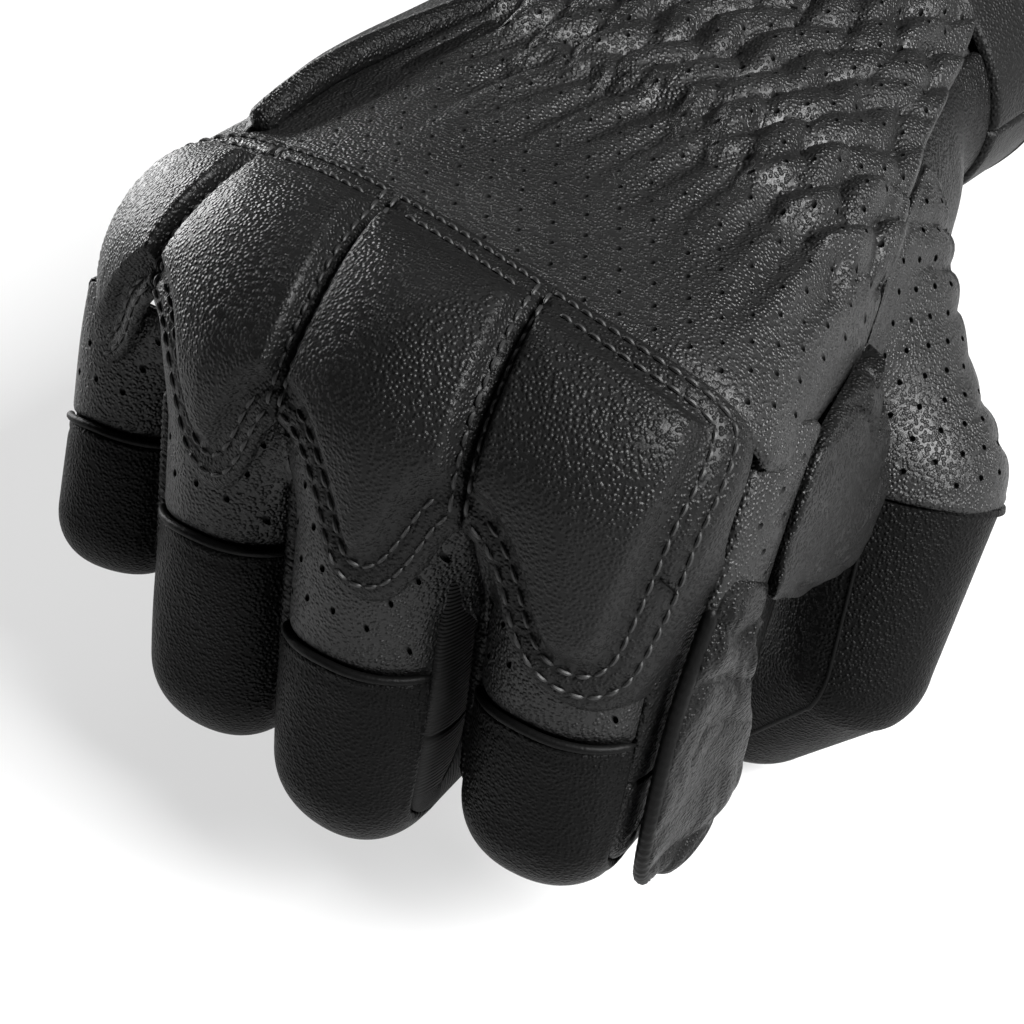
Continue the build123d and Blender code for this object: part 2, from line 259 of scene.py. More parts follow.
class Loft:
    """Membrane between two edge lines, bulging along out."""

    def __init__(self, left, right, out, bulge=0.0):
        self.left = soften(left, closed=False)
        self.right = soften(right, closed=False)
        self.out = unit(out)
        self.bulge = bulge
        self.height = sum(self.length(line) for line in (self.left, self.right)) / 2
        self.width = np.linalg.norm(self.along(self.left, [0.5]) - self.along(self.right, [0.5]))

    @staticmethod
    def length(line):
        return np.linalg.norm(np.diff(line, axis=0), axis=1).sum()

    @staticmethod
    def along(line, t):
        run = np.concatenate([[0], np.cumsum(np.linalg.norm(np.diff(line, axis=0), axis=1))])
        return np.stack([np.interp(np.asarray(t) * run[-1], run, line[:, i]) for i in range(3)], axis=1)

    def at(self, uv, level=0.0):
        uv = np.atleast_2d(np.asarray(uv, float))
        w = uv[:, :1] / self.width
        t = uv[:, 1] / self.height
        p = self.along(self.left, t) * (1 - w) + self.along(self.right, t) * w
        lift = self.bulge * np.sin(math.pi * np.clip(w[:, 0], 0, 1)) + level
        return p + lift[:, None] * self.out

    def outline(self, wave=0.0, period=11.0):
        """Pattern of the membrane.  wave makes its right edge run in and out."""
        v = np.linspace(0, self.height, 24)
        free = wave * np.sin(2 * math.pi * v / period) * np.sin(math.pi * v / self.height)
        edge = list(zip(self.width + free, v))
        return soften(resample([(0, 0)] + edge + [(0, self.height)], CORNER), passes=3)


class Ring:
    """Pattern wrapped round the hand: u goes round from the top towards the thumb, v is y."""

    SCALE = 30.0

    def __init__(self, field):
        self.field = field

    def at(self, uv, level=0.0):
        uv = np.atleast_2d(np.asarray(uv, float))
        turn = uv[:, 0] / self.SCALE
        y = uv[:, 1]
        start = np.stack([2 + 0 * y, y, -1 + 0 * y], axis=1)
        step = np.stack([np.sin(turn), 0 * y, np.cos(turn)], axis=1)
        return march(self.field, start, step, level, inside_out=True)

    def round(self, degrees):
        return math.radians(degrees) * self.SCALE


joint_at = {j["name"]: np.array(j["pos_m"]) / MM for j in frame["joints"]}


def finger_stall(name):
    """Skin of one bent finger, through the CAD joints."""
    points = [joint_at[name + end] for end in ("_knuckle", "_second_knuckle", "_tip_knuckle")]
    pitch = math.radians(sum(BENDS[name]))
    points.append(points[-1] + TIP_BONE[name] * np.array([0, -math.cos(pitch), -math.sin(pitch)]))
    taper = LITTLE_TAPER if name == "little" else TAPER
    return Stall(points, (1, 0, 0), [RADIUS[name] * share for share in taper], 2.1, 0.07)


stalls = {name: finger_stall(name) for name in NAMES}
thumb_points = [np.array(THUMB_ROOT), joint_at["thumb_knuckle"], joint_at["thumb_tip_knuckle"]]
thumb_points.append(np.array(THUMB_TIP))
thumb_axis = -np.array(next(j["axis"] for j in frame["joints"] if j["name"] == "thumb_knuckle"))
thumb = Stall(thumb_points, thumb_axis, THUMB_RADII, 2.1)


def between_fingers(rows, steps=3):
    """Adds evenly spaced bones between each pair of fingers, so that leather spans them taut."""
    rows = np.array(rows, float)
    at = np.arange(0, len(rows) - 1 + 1e-6, 1 / steps)
    columns = [np.interp(at, range(len(rows)), rows[:, i]) for i in range(rows.shape[1])]
    return np.stack(columns, axis=1)


def palm_bones():
    """Start, end and end radius of the hand under each finger."""
    rows = []
    for name in NAMES:
        x, y, _ = stalls[name].points[0]
        end, front = ((x, y + 7, 1.6), 14.3) if name != "little" else (LITTLE_SIDE_END, LITTLE_SIDE_RADIUS)
        rows.append([x * 0.55 + 2, -40, -2, *end, front])
    return between_fingers(rows, 2)


def guard_bones():
    """Start, end and radii of the first finger bones, as the guard spans them."""
    rows = []
    for name in NAMES:
        s = stalls[name]
        start, radius = s.points[0], s.radii[0]
        if name == "little":
            start, radius = LITTLE_GUARD_START, LITTLE_GUARD_RADIUS
        rows.append([*start, *s.points[1], radius, s.radii[1]])
    return between_fingers(rows)


PALM_BONES = palm_bones()
GUARD_BONES = guard_bones()


def hand_field(p):
    """Distance to the hand's skin, from the wrist to the finger roots, with the ball of the thumb."""
    d = cone_distance(p, (0, 4, 0), (2, -42, -1), 27.2, 21.5, (0.68, 1, 1))
    for row in PALM_BONES:
        d = smooth_min(d, cone_distance(p, row[:3], row[3:6], 18, row[6]), 5)
    return smooth_min(d, cone_distance(p, (24, -44, -6), (40, -66, -16), 15, 12.5), 9)


def thumb_field(p):
    """Distance to the thumb's skin."""
    parts = zip(thumb.points, thumb.points[1:], thumb.radii, thumb.radii[1:])
    d = None
    for a, b, ra, rb in parts:
        bone = cone_distance(p, a, b, ra, rb)
        d = bone if d is None else smooth_min(d, bone, 2)
    return d


def proximal_field(p, name):
    """Distance to the skin round the first bone of a finger."""
    s = stalls[name]
    return cone_distance(p, s.points[0], s.points[1], s.radii[0], s.radii[1])


def guard_field(p):
    """Taut form that bridges the knuckles, which the guard lies on."""
    d = None
    for row in GUARD_BONES:
        bone = cone_distance(p, row[:3], row[3:6], row[6], row[7])
        d = bone if d is None else smooth_min(d, bone, 4)
    return smooth_min(d, hand_field(p), 7)


def skirt_field(p):
    """Softer form of the leather below the guard, which dips between the fingers."""
    d = None
    for name in NAMES:
        bone = proximal_field(p, name)
        d = bone if d is None else smooth_min(d, bone, 5)
    return smooth_min(d, hand_field(p), 8)


GUARD = Chart(guard_field, (0, -112, 8), (1, 0, 0), (0, math.cos(GUARD_TILT), math.sin(GUARD_TILT)))
SKIRT = Chart(skirt_field, GUARD.origin, GUARD.u, GUARD.v)
BACK = Chart(hand_field, (0, 0, 0), (math.cos(BACK_TILT), 0, -math.sin(BACK_TILT)), (0, 1, 0))
RING = Ring(hand_field)


# ---------------------------------------------------------------- flat pattern tools
def resample(points, step, closed=True):
    """Evenly spaced points along a line."""
    pts = np.array(points, float)
    if closed:
        pts = np.vstack([pts, pts[:1]])
    seg = np.linalg.norm(np.diff(pts, axis=0), axis=1)
    run = np.concatenate([[0], np.cumsum(seg)])
    count = max(int(round(run[-1] / step)), 3)
    t = np.linspace(0, run[-1], count + 1)
    out = np.stack([np.interp(t, run, pts[:, i]) for i in range(pts.shape[1])], axis=1)
    return out[:-1] if closed else out


def soften(points, closed=True, passes=2):
    """Rounds the corners of a pattern line by cutting them."""
    pts = np.array(points, float)
    for _ in range(passes):
        nxt = np.roll(pts, -1, axis=0)
        q = 0.75 * pts + 0.25 * nxt
        r = 0.25 * pts + 0.75 * nxt
        new = np.stack([q, r], axis=1).reshape(-1, pts.shape[1])
        pts = new if closed else np.vstack([pts[:1], new[1:-2], pts[-1:]])
    return pts


def line_distance(p, line, closed=True):
    """Distance from each point to a pattern line."""
    a = line if closed else line[:-1]
    b = np.roll(line, -1, axis=0) if closed else line[1:]
    ab = b - a
    length = np.maximum((ab**2).sum(1), 1e-12)
    best = np.empty(len(p))
    for i in range(0, len(p), 3000):
        q = p[i : i + 3000, None] - a
        t = np.clip((q * ab).sum(2) / length, 0, 1)
        best[i : i + 3000] = np.sqrt(((q - t[..., None] * ab) ** 2).sum(2)).min(1)
    return best


def inside(p, line):
    """Whether each point lies within a closed pattern line."""
    a, b = line, np.roll(line, -1, axis=0)
    rise = np.where(np.abs(b[:, 1] - a[:, 1]) < 1e-12, 1e-12, b[:, 1] - a[:, 1])
    y = p[:, 1:2]
    crosses = (a[:, 1] > y) != (b[:, 1] > y)
    x = a[:, 0] + (y - a[:, 1]) / rise * (b[:, 0] - a[:, 0])
    return np.sum(crosses & (p[:, :1] < x), axis=1) % 2 == 1


def inward_row(line, distance, closed=True):
    """Points at a distance inside a line that runs anticlockwise."""
    step = np.roll(line, -1, axis=0) - np.roll(line, 1, axis=0)
    if not closed:
        step[0] = line[1] - line[0]
        step[-1] = line[-1] - line[-2]
    step = unit(step)
    return line + distance * np.stack([-step[:, 1], step[:, 0]], axis=1)


def anticlockwise(line):
    nxt = np.roll(line, -1, axis=0)
    area = (line[:, 0] * nxt[:, 1] - nxt[:, 0] * line[:, 1]).sum()
    return line if area > 0 else line[::-1]


def lattice(low, high, pitch):
    """Points in staggered rows between two corners."""
    row = pitch * math.sqrt(3) / 2
    us = np.arange(low[0], high[0] + pitch, pitch)
    vs = np.arange(low[1], high[1] + row, row)
    u, v = np.meshgrid(us, vs)
    u = u + np.where(np.arange(len(vs)) % 2, pitch / 2, 0)[:, None]
    return np.stack([u.ravel(), v.ravel()], axis=1)


# ---------------------------------------------------------------- meshes
def make_object(name, verts, faces, flat=None, second=None):
    """Mesh object.  flat holds pattern places, and second marks faces of the second material, the painted
    shade inside the holes.
    """
    mesh = bpy.data.meshes.new(name)
    mesh.from_pydata((np.asarray(verts) * MM).tolist(), [], faces)
    mesh.polygons.foreach_set("use_smooth", np.ones(len(mesh.polygons), bool))
    for label, values in (("place", verts), ("flat", flat)):
        if values is not None:
            attribute = mesh.attributes.new(label, "FLOAT_VECTOR", "POINT")
            attribute.data.foreach_set("vector", np.asarray(values, np.float32).ravel())
    if second is not None:
        mesh.polygons.foreach_set("material_index", second.astype(np.int32))
    mesh.update()
    mesh.set_sharp_from_angle(angle=math.radians(55))
    obj = bpy.data.objects.new(name, mesh)
    bpy.context.scene.collection.objects.link(obj)
    return obj


HOLE_PITCH = 4.1
HOLE_RADIUS = 0.43
HOLE_DEPTH = 0.7
EDGE_RINGS = (0.25, 0.6, 1.0, 1.5)


def edge_round(d, width=0.8, low=0.35):
    """Share of the leather's thickness at a distance from its cut edge."""
    x = np.clip(d / width, 0, 1)
    return low + (1 - low) * np.sqrt(1 - (1 - x) ** 2)


def lay_panel(
    name, surface, outline, thick=0.9, level=0.0, grid=0.9, holes=0.0, relief=None, rings=EDGE_RINGS,
    low_edge=0.35, extra=None,
):
    """Leather panel laid on a surface.

    holes is the bare margin round perforations, and extra holds further pattern
    points, which keep a bevel crisp.
    """
    line = anticlockwise(resample(outline, min(grid, 0.8)))
    rows = [line]
    for d in rings:
        row = inward_row(line, d)
        rows.append(row[inside(row, line) & (line_distance(row, line) > 0.93 * d)])
    low, high = line.min(0), line.max(0)
    grid_points = lattice(low, high, grid)
    grid_points = grid_points[inside(grid_points, line)]
    grid_points = grid_points[line_distance(grid_points, line) > (rings[-1] if rings else 0) + 0.5 * grid]
    if extra is not None:
        extra = extra[inside(extra, line) & (line_distance(extra, line) > 0.3)]
        grid_points = grid_points[nearest(grid_points, extra) > 0.3]
        rows.append(extra)
    centres = np.zeros((0, 2))
    if holes:
        centres = lattice(low + 1.3, high, HOLE_PITCH)
        centres = centres[inside(centres, line)]
        centres = centres[line_distance(centres, line) > holes]
    if len(centres):
        rows = [rows[0]] + [r[nearest(r, centres) > 0.75] for r in rows[1:]]
        grid_points = grid_points[nearest(grid_points, centres) > 0.75]
        corners = np.arange(8) * math.pi / 4
        star = np.stack([np.cos(corners), np.sin(corners)], axis=1)
        for radius in (HOLE_RADIUS * 0.8, HOLE_RADIUS):
            rows.append((centres[:, None] + radius * star).reshape(-1, 2))
        rows.append(centres)
    points = np.vstack(rows + [grid_points])
    count = len(line)
    edges = [(i, (i + 1) % count) for i in range(count)]
    found = delaunay_2d_cdt([Vector(p) for p in points.tolist()], edges, [], 0, 1e-5)
    uv = np.array([tuple(v) for v in found[0]])
    tri = np.array([t for t in found[2] if len(t) == 3])
    tri = tri[inside(uv[tri].mean(1), line)]
    used, tri = np.unique(tri, return_inverse=True)
    uv = uv[used]
    tri = tri.reshape(-1, 3)

    d = line_distance(uv, line)
    height = level + thick * edge_round(d, low=low_edge)
    if relief is not None:
        height = height + relief(uv, d)
    second = None
    if len(centres):
        from_hole = nearest(uv, centres)
        height = np.where(from_hole < HOLE_RADIUS * 0.9, level + thick - HOLE_DEPTH, height)
        # faces inside each hole take the second material, which is painted shade
        second = (from_hole[tri] < HOLE_RADIUS * 1.05).all(1)
    top = surface.at(uv, height)
    bottom = surface.at(uv, np.minimum(level, height - 0.2))
    e1 = top[tri[:, 1]] - top[tri[:, 0]]
    e2 = top[tri[:, 2]] - top[tri[:, 0]]
    facing = (np.cross(e1, e2) * (top - bottom)[tri[:, 0]]).sum()
    if facing < 0:
        tri = tri[:, ::-1]
    n = len(uv)
    sides = np.concatenate([tri[:, [0, 1]], tri[:, [1, 2]], tri[:, [2, 0]]])
    key = np.sort(sides, axis=1)
    _, first, times = np.unique(key, axis=0, return_index=True, return_counts=True)
    rim = sides[first[times == 1]]
    quads = np.stack([rim[:, 1], rim[:, 0], rim[:, 0] + n, rim[:, 1] + n], axis=1)
    faces = tri.tolist() + (tri[:, ::-1] + n).tolist() + quads.tolist()
    if second is not None:
        second = np.concatenate([second, np.zeros(len(tri) + len(quads), bool)])
    flat = np.hstack([uv, np.zeros((n, 1))])
    return make_object(name, np.vstack([top, bottom]), faces, np.vstack([flat, flat]), second)


def nearest(p, centres):
    """Distance from each point to the nearest of some centres."""
    best = np.empty(len(p))
    for i in range(0, len(p), 2000):
        best[i : i + 2000] = np.sqrt(((p[i : i + 2000, None] - centres) ** 2).sum(2)).min(1)
    return best


def surface_frame(surface, uv, level):
    """Point and outward normal of a surface."""
    h = 0.3
    m = surface.at(uv, level)
    du = surface.at(uv + (h, 0), level) - surface.at(uv - (h, 0), level)
    dv = surface.at(uv + (0, h), level) - surface.at(uv - (0, h), level)
    n = np.cross(du, dv)
    n = n / np.maximum(np.linalg.norm(n, axis=1, keepdims=True), 1e-9)
    out = surface.at(uv, np.asarray(level) + 1.0) - m
    return m, n * np.sign((n * out).sum(1, keepdims=True))


def tube_faces(rings, around, base=0):
    """Faces of a capped tube whose rings of points follow each other."""
    faces = []
    for start in range(base, base + (rings - 1) * around, around):
        for k in range(around):
            k2 = (k + 1) % around
            faces.append((start + k, start + k2, start + around + k2, start + around + k))
    faces.append(tuple(base + k for k in reversed(range(around))))
    faces.append(tuple(base + (rings - 1) * around + k for k in range(around)))
    return faces


def stitch_row(name, surface, rows, level, pitch=2.0, radius=0.25):
    """Thread laid over the leather in short stitches along each row."""
    rings, around = 7, 6
    t = np.linspace(-1, 1, rings)
    swell = np.sqrt(np.clip(1 - np.abs(t) ** 2.6, 0, 1)) * 0.9 + 0.1
    angle = np.arange(around) * 2 * math.pi / around
    verts = []
    faces = []
    for row in rows:
        line = resample(row, pitch, closed=False)
        a = surface.at(line[:-1], level)
        b = surface.at(line[1:], level)
        middle, normal = surface_frame(surface, (line[:-1] + line[1:]) / 2, level)
        along = unit(b - a)
        side = np.cross(normal, along)
        half = np.linalg.norm(b - a, axis=1)[:, None, None] * 0.43
        spine = middle[:, None, None] + half[..., None] * t[None, :, None, None] * along[:, None, None]
        lift = radius * (0.25 - 0.9 * t**2)
        spine = spine + lift[None, :, None, None] * normal[:, None, None]
        cos, sin = np.cos(angle)[None, None, :, None], np.sin(angle)[None, None, :, None]
        size = radius * swell[None, :, None, None]
        wide = size * cos * side[:, None, None]
        high = size * sin * normal[:, None, None]
        ring_points = (spine + wide + high).reshape(len(a), -1, 3)
        for pts in ring_points:
            faces.extend(tube_faces(rings, around, len(verts)))
            verts.extend(pts.tolist())
    return make_object(name, verts, faces)


def lay_tube(name, surface, line, radius, level, step=0.6, taper=2.0, ribs=0.0, rib_pitch=1.0):
    """Rolled edge or piping that follows a line on a surface, with rounded ends if it tapers."""
    around = 10
    line = resample(line, step, closed=False)
    centre, normal = surface_frame(surface, line, level)
    side = np.cross(normal, unit(np.gradient(centre, axis=0)))
    n = len(line)
    run = np.concatenate([[0], np.cumsum(np.linalg.norm(np.diff(centre, axis=0), axis=1))])
    size = np.full(n, float(radius))
    if taper:
        ends = np.minimum(run, run[-1] - run) / taper
        size *= np.sqrt(np.clip(1 - (1 - np.clip(ends, 0, 1)) ** 2, 0.02, 1))
    if ribs:
        size *= 1 + ribs * np.abs(np.sin(math.pi * run / rib_pitch))
    angle = np.arange(around) * 2 * math.pi / around
    wide = np.cos(angle)[None, :, None] * side[:, None]
    high = np.sin(angle)[None, :, None] * normal[:, None]
    points = centre[:, None] + size[:, None, None] * (wide + high)
    return make_object(name, points.reshape(-1, 3), tube_faces(n, around))


# ---------------------------------------------------------------- materials
def node_material(name, shade, rough, shine=0.5):
    """New node material, with its tree and shader."""
    material = bpy.data.materials.new(name)
    material.use_nodes = True
    tree = material.node_tree
    shader = tree.nodes["Principled BSDF"]
    shader.inputs["Base Color"].default_value = (shade, shade, shade, 1)
    shader.inputs["Roughness"].default_value = rough
    shader.inputs["Specular IOR Level"].default_value = shine
    return material, tree, shader


def add(tree, kind, **settings):
    """New node, with settings for its inputs or its properties."""
    node = tree.nodes.new(kind)
    for key, value in settings.items():
        if key in node.inputs:
            node.inputs[key].default_value = value
        else:
            setattr(node, key, value)
    return node


def coords(tree, attribute):
    """Texture place in millimetres, from a point attribute or from the object's own space."""
    if attribute:
        return add(tree, "ShaderNodeAttribute", attribute_name=attribute).outputs["Vector"]
    place = add(tree, "ShaderNodeTexCoord")
    mapping = add(tree, "ShaderNodeMapping", Scale=(1 / MM, 1 / MM, 1 / MM))
    tree.links.new(place.outputs["Object"], mapping.inputs["Vector"])
    return mapping.outputs["Vector"]


def texture(tree, vector, kind, output="Fac", **settings):
    """Output of a texture node."""
    node = add(tree, "ShaderNodeTex" + kind, **settings)
    tree.links.new(vector, node.inputs["Vector"])
    return node.outputs[output]


def remap(tree, value, start, end):
    """A value carried from one range to another."""
    node = add(tree, "ShaderNodeMapRange")
    for label, number in zip(("From Min", "From Max", "To Min", "To Max"), start + end):
        node.inputs[label].default_value = number
    tree.links.new(value, node.inputs["Value"])
    return node.outputs["Result"]


def bump(tree, height, strength, distance, under=None):
    """Normal of a bump so many millimetres high, over another bump."""
    node = add(tree, "ShaderNodeBump", Strength=strength, Distance=distance * MM)
    tree.links.new(height, node.inputs["Height"])
    if under is not None:
        tree.links.new(under, node.inputs["Normal"])
    return node.outputs["Normal"]


def leather(name, shade, rough, cell, depth=0.12, crease=0.0, shine=0.22, attribute="place"):
    """Grained leather.  cell is the grain size and depth how strongly it stands out."""
    material, tree, shader = node_material(name, shade, rough, shine)
    vector = coords(tree, attribute)
    cells = {"feature": "SMOOTH_F1", "Scale": 1 / cell, "Smoothness": 0.35}
    grain = texture(tree, vector, "Voronoi", "Distance", **cells)
    fine = texture(tree, vector, "Noise", Scale=1.6 / cell, Detail=4.0)
    large = texture(tree, vector, "Noise", Scale=0.09, Detail=3.0)
    pebbles = remap(tree, grain, (0.15, 0.6), (1.0, 0.0))
    normal = bump(tree, fine, 0.25, depth, bump(tree, pebbles, 0.7, depth))
    if crease:
        folds = texture(tree, vector, "Noise", Scale=0.35, Detail=3.0, Distortion=1.2)
        normal = bump(tree, folds, 0.8, crease, normal)
    tree.links.new(normal, shader.inputs["Normal"])
    varied = remap(tree, large, (0.3, 0.7), (rough - 0.06, rough + 0.06))
    tree.links.new(varied, shader.inputs["Roughness"])
    return material


def fabric(name, shade, rough, pitch, depth=0.25, attribute="flat"):
    """Ribbed or woven cloth with its ribs across the panel's second direction."""
    material, tree, shader = node_material(name, shade, rough, 0.3)
    wave = {"bands_direction": "Y", "Scale": math.pi / 10 / pitch, "Distortion": 0.6}
    ribs = texture(tree, coords(tree, attribute), "Wave", **wave)
    tree.links.new(bump(tree, ribs, 0.9, depth), shader.inputs["Normal"])
    return material


def plain(name, shade, rough):
    """Thread, and the hole walls and floors that carry painted shade: matt, with a fine nap."""
    material, tree, shader = node_material(name, shade, rough)
    nap = texture(tree, coords(tree, None), "Noise", Scale=2.5, Detail=2.0)
    tree.links.new(bump(tree, nap, 0.4, 0.05), shader.inputs["Normal"])
    return material


LEATHERS = {
    "guard_leather": leather("guard_leather", 0.005, 0.4, 0.5, 0.2, shine=0.12),
    "perforated_leather": leather("perforated_leather", 0.0045, 0.46, 0.5, 0.25, 0.12, 0.3),
    "back_leather": leather("back_leather", 0.0025, 0.45, 0.5, 0.24, 0.15, 0.05),
    "gusset_leather": leather("gusset_leather", 0.003, 0.4, 0.5, 0.25, 0.35, 0.12),
    "palm_leather": leather("palm_leather", 0.004, 0.55, 0.7, 0.15, 0.3, 0.08),
    "strap_leather": leather("strap_leather", 0.004, 0.5, 0.55, 0.15, shine=0.12),
    "piping_leather": leather("piping_leather", 0.002, 0.5, 0.5, 0.03, shine=0.08),
}
CLOTH = {
    "stretch_fabric": fabric("stretch_fabric", 0.003, 0.85, 0.55),
    "lining_fabric": fabric("lining_fabric", 0.012, 0.9, 0.7, 0.1),
    "hook_and_loop": fabric("hook_and_loop", 0.01, 0.95, 0.6, 0.3),
}
THREAD = plain("thread", 0.004, 0.6)
# near-black painted shade for the walls and floors of the perforations, darker than the leather and the
# lining
HOLE_SHADE = plain("hole_painted_shade", 0.0015, 0.9)
# finish of the three strap parts whose CAD shape is shown as it is
CARRIED = {
    "strap_loop_patch": fabric("loop_pile", 0.008, 0.95, 0.5, 0.3, attribute=None),
    "strap_hook_patch": fabric("hook_rows", 0.008, 0.9, 0.8, 0.3, attribute=None),
    "strap_pull_tab": leather("pull_tab_leather", 0.004, 0.5, 0.6, 0.15, shine=0.15, attribute=None),
}


def attach(obj, slot, body, covers=(), material=None):
    """Gives a piece its finish and ties it to its body, or bakes its place when it is given a bend, and
    hides the CAD nodes it stands for.
    """
    if not obj.data.materials:
        chosen = material or LEATHERS.get(slot) or CLOTH.get(slot)
        obj.data.materials.append(chosen)
        # faces inside the perforations take the holes' painted shade as a second material
        if any(polygon.material_index for polygon in obj.data.polygons):
            obj.data.materials.append(HOLE_SHADE)
    if isinstance(body, str):
        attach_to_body(obj, body)
    else:
        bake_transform(obj)
    if covers:
        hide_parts(*covers)
    return obj


def knuckle_bend(name):
    """Bend from the hand to a finger's first bone, over the knuckle."""
    hinge = stalls[name].points[0]
    return "hand", name + "_proximal", hinge + (0, 9, 14), hinge + (0, -13, -9)


def stall_bend(stall, index, bodies):
    """Bend over hinge 1 or 2 of a stall, measured on its outer side."""
    p = stall.points[index]
    r = stall.radii[index]
    start = p - 5 * stall.dirs[index - 1] + r * stall.backs[index - 1]
    end = p + 5 * stall.dirs[index] + r * stall.backs[index]
    return bodies[0], bodies[1], start, end


# ---------------------------------------------------------------- knuckle guard
LITTLE_RING_CHANNEL = [(-20.6, 11.6), (-19.9, 1.8), (-21.8, -6.9), (-22.3, -12.9)]
RING_MIDDLE_CHANNEL = [(-1.5, 10.2), (3.0, -5.0), (3.6, -14.9), (2.6, -20.3)]
MIDDLE_INDEX_CHANNEL = [(23.2, 5.7), (25.9, -5.1), (26.8, -15.9), (26.6, -22.0)]
# the guard's outer edge over each finger, on its pattern chart
TONGUES = {
    "index": {
        "channel": MIDDLE_INDEX_CHANNEL[::-1],
        "outer": [
            (23.2, 5.7), (37.4, 2.9), (43.9, 2.1), (48.0, 1.1), (49.9, -0.8), (50.9, -7.0), (50.0, -15.3),
            (48.3, -23.0), (47.3, -28.4), (44.4, -31.8), (41.5, -32.8), (37.1, -32.7), (33.6, -29.9),
            (31.2, -24.9), (28.9, -22.7), (26.6, -22.0),
        ],
    },
    "middle": {
        "channel": RING_MIDDLE_CHANNEL[::-1],
        "outer": [(-1.5, 10.2), (11.5, 8.3), (23.2, 5.7)],
        "channel2": MIDDLE_INDEX_CHANNEL,
        "lower": [
            (26.6, -22.0), (25.1, -23.3), (23.3, -26.9), (19.9, -32.0), (15.2, -33.4), (11.9, -31.7),
            (9.1, -25.5), (5.9, -21.3), (2.6, -20.3),
        ],
    },
    "ring": {
        "channel": LITTLE_RING_CHANNEL[::-1],
        "outer": [(-20.6, 11.6), (-11, 11.2), (-1.5, 10.2)],
        "channel2": RING_MIDDLE_CHANNEL,
        "lower": [
            (2.6, -20.3), (0.9, -22.1), (-1.8, -26.4), (-5.7, -29.8), (-11.7, -28.4), (-14.6, -22.9),
            (-17.2, -16.5), (-22.3, -12.9),
        ],
    },
    "little": {
        "outer": [
            (-20.6, 11.6), (-29.5, 12.4), (-34.5, 10.2), (-38.8, 5), (-40.6, -3), (-40.5, -12),
            (-38.8, -19.2), (-36.8, -21.7), (-32.9, -21.0), (-29.0, -18.5), (-26.1, -15.3), (-22.3, -12.9),
        ],
        "channel": LITTLE_RING_CHANNEL[::-1],
    },
}
GUARD_LEVEL = 0.2
GUARD_THICK = 1.2
CHANNEL_GAP = 1.3
CHANNEL_STITCH = 0.85
RIM_WIDTH = 3.7
BEVEL = 0.8
BEVEL_HEIGHT = 1.7
CROWN_HEIGHT = 0.8
CROWN_WIDTH = 9.0
BEVEL_ROWS = (0.0, 0.25, 0.5, 0.75, 1.0)  # shares of the bevel at which the mesh gets a row of points
STITCH_GROOVES = (0.9, 2.7)


def groove(d, at, width=0.5, depth=0.22):
    """Dent that a row of stitches pulls into the leather, at a distance from a line."""
    return -depth * np.exp(-(((d - at) / width) ** 2))


def tongue_lines(name):
    """Channel lines and outer lines of one part of the guard."""
    parts = TONGUES[name]
    channels = [soften(parts[k], closed=False) for k in ("channel", "channel2") if k in parts]
    outers = [soften(parts[k], closed=False, passes=3) for k in ("outer", "lower") if k in parts]
    return channels, outers


def tongue_outline(name):
    """Closed outline of one part of the guard."""
    channels, outers = tongue_lines(name)
    parts = TONGUES[name]
    order = ("outer", "channel") if name == "little" else ("channel", "outer", "channel2", "lower")
    lines = []
    for key in order:
        if key in parts:
            lines.append(soften(parts[key], closed=False, passes=2 if "channel" in key else 3))
    return np.vstack([line[:-1] for line in lines])


def pad_height(uv, channels, outers):
    """Foam under the guard leather, from the distance to the channels and the rim."""
    d = np.full(len(uv), 99.0)
    for line in channels:
        d = np.minimum(d, line_distance(uv, line, closed=False) - CHANNEL_GAP)
    for line in outers:
        d = np.minimum(d, line_distance(uv, line, closed=False) - RIM_WIDTH)
    bevel = BEVEL_HEIGHT * smooth_step(d / BEVEL)
    crown = CROWN_HEIGHT * (1 - (1 - np.clip(d / CROWN_WIDTH, 0, 1)) ** 2)
    return bevel + crown


def make_guard(name):
    """One finger's part of the guard: crowned leather over foam, with its stitches."""
    channels, outers = tongue_lines(name)
    outline = tongue_outline(name)

    def relief(uv, d):
        h = pad_height(uv, channels, outers)
        for line in outers:
            d_line = line_distance(uv, line, closed=False)
            for at in STITCH_GROOVES:
                h += groove(d_line, at)
        for line in channels:
            d_line = line_distance(uv, line, closed=False)
            h += groove(d_line, 0, 0.45, 0.5)
            h += groove(d_line, CHANNEL_STITCH)
        return h

    bevel_rows = []
    for lines, foot in ((channels, CHANNEL_GAP), (outers, RIM_WIDTH)):
        for line in lines:
            line = resample(line, 0.4, closed=False)
            for share in BEVEL_ROWS:
                at = foot + share * BEVEL
                bevel_rows += [inward_row(line, at, closed=False), inward_row(line, -at, closed=False)]
    bevel_rows = np.vstack(bevel_rows)
    from_edge = pad_height(bevel_rows, channels, outers)
    bevel_rows = bevel_rows[from_edge < BEVEL_HEIGHT + 0.1]
    pad = lay_panel(
        name + "_guard_pad", GUARD, outline, GUARD_THICK, GUARD_LEVEL, 0.45, relief=relief,
        rings=(0.2, 0.5, 0.9, 1.3), extra=bevel_rows,
    )
    covers = [name + "_knuckle_pad"] + (["knuckle_guard_base"] if name == "middle" else [])
    attach(pad, "guard_leather", knuckle_bend(name), covers)
    rows = []
    closed_line = anticlockwise(resample(outline, 0.5))
    for lines, places in ((outers, STITCH_GROOVES), (channels, (CHANNEL_STITCH,))):
        for line in lines:
            line = resample(line, 0.5, closed=False)
            sign = 1 if inside(inward_row(line, 0.5, False)[4:5], closed_line)[0] else -1
            for at in places:
                row = inward_row(line, sign * at, closed=False)
                ok = inside(row, closed_line) & (line_distance(row, closed_line) > at - 0.1)
                rows.append(row[ok])
    thread = stitch_row(name + "_guard_stitches", GUARD, rows, GUARD_LEVEL + GUARD_THICK - 0.05)
    attach(thread, "stretch_fabric", knuckle_bend(name), material=THREAD)


# ---------------------------------------------------------------- fingers
# degrees round a finger at which its front leather and its side gusset end
FRONT_SIDE = 64.0
PALM_SIDE = 112.0


